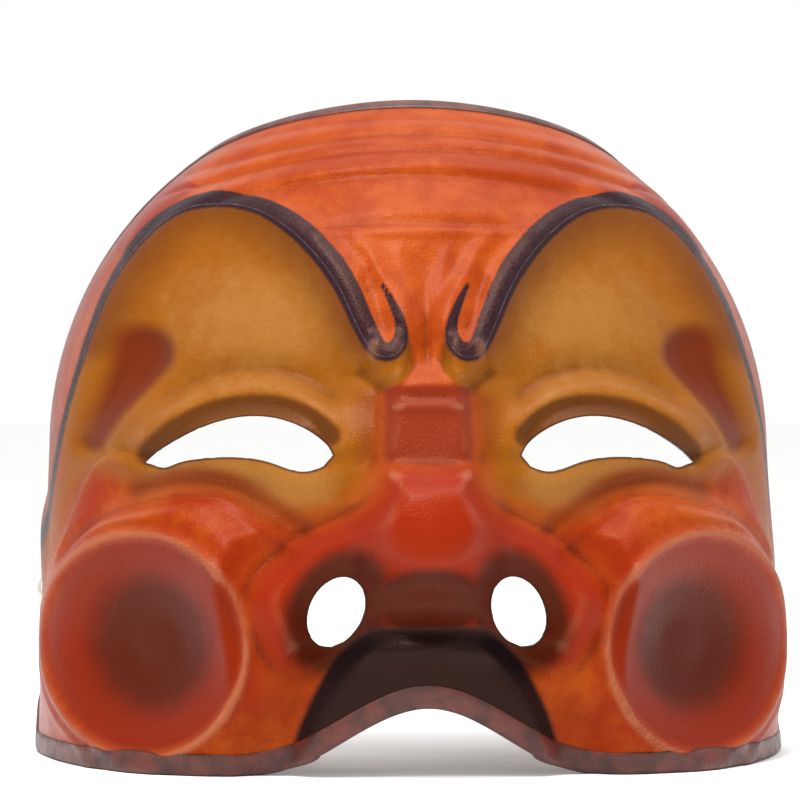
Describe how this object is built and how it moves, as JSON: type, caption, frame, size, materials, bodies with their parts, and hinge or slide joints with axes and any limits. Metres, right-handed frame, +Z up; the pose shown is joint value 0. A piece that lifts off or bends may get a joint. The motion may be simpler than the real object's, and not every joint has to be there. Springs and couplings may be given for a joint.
{
  "type": "leather half mask",
  "caption": "Moulded leather theatre half mask with painted brows, pierced eyes and nostrils, wired edge, forehead pad and a riveted elastic head strap that swings.",
  "frame": {"origin": "centre of the bottom of the bounding box, without the elastic strap, on the surface it stands on", "axes": "+Z up, the face looks towards -Y, the wearer's left hand side is +X"},
  "size_m": [0.1953, 0.2691, 0.1681],
  "materials": {
    "dyed_leather": "satin",
    "edge_leather": "satin",
    "wire": "satin",
    "foam": "matte",
    "rivet_metal": "satin",
    "fibre": "matte",
    "tab_leather": "satin",
    "elastic": "matte",
    "thread": "matte"
  },
  "bodies": {
    "mask": {"face_shell": "dyed_leather", "rim_hem": "edge_leather", "rim_wire": "wire", "brow_pad": "foam", "right_rivet_cap": "rivet_metal", "right_rivet_post": "rivet_metal", "right_washer": "fibre", "left_rivet_cap": "rivet_metal", "left_rivet_post": "rivet_metal", "left_washer": "fibre"},
    "head_strap": {"right_strap_tab": "tab_leather", "left_strap_tab": "tab_leather", "elastic_band": "elastic", "right_stitches": "thread", "left_stitches": "thread"}
  },
  "joints": [
    {"name": "strap_swing", "type": "hinge", "parent": "mask", "child": "head_strap", "pos_m": [-0.00022, 0.0449, 0.046], "axis": [0.998, 0, 0.0629], "range_deg": [-13, 30]}
  ]
}
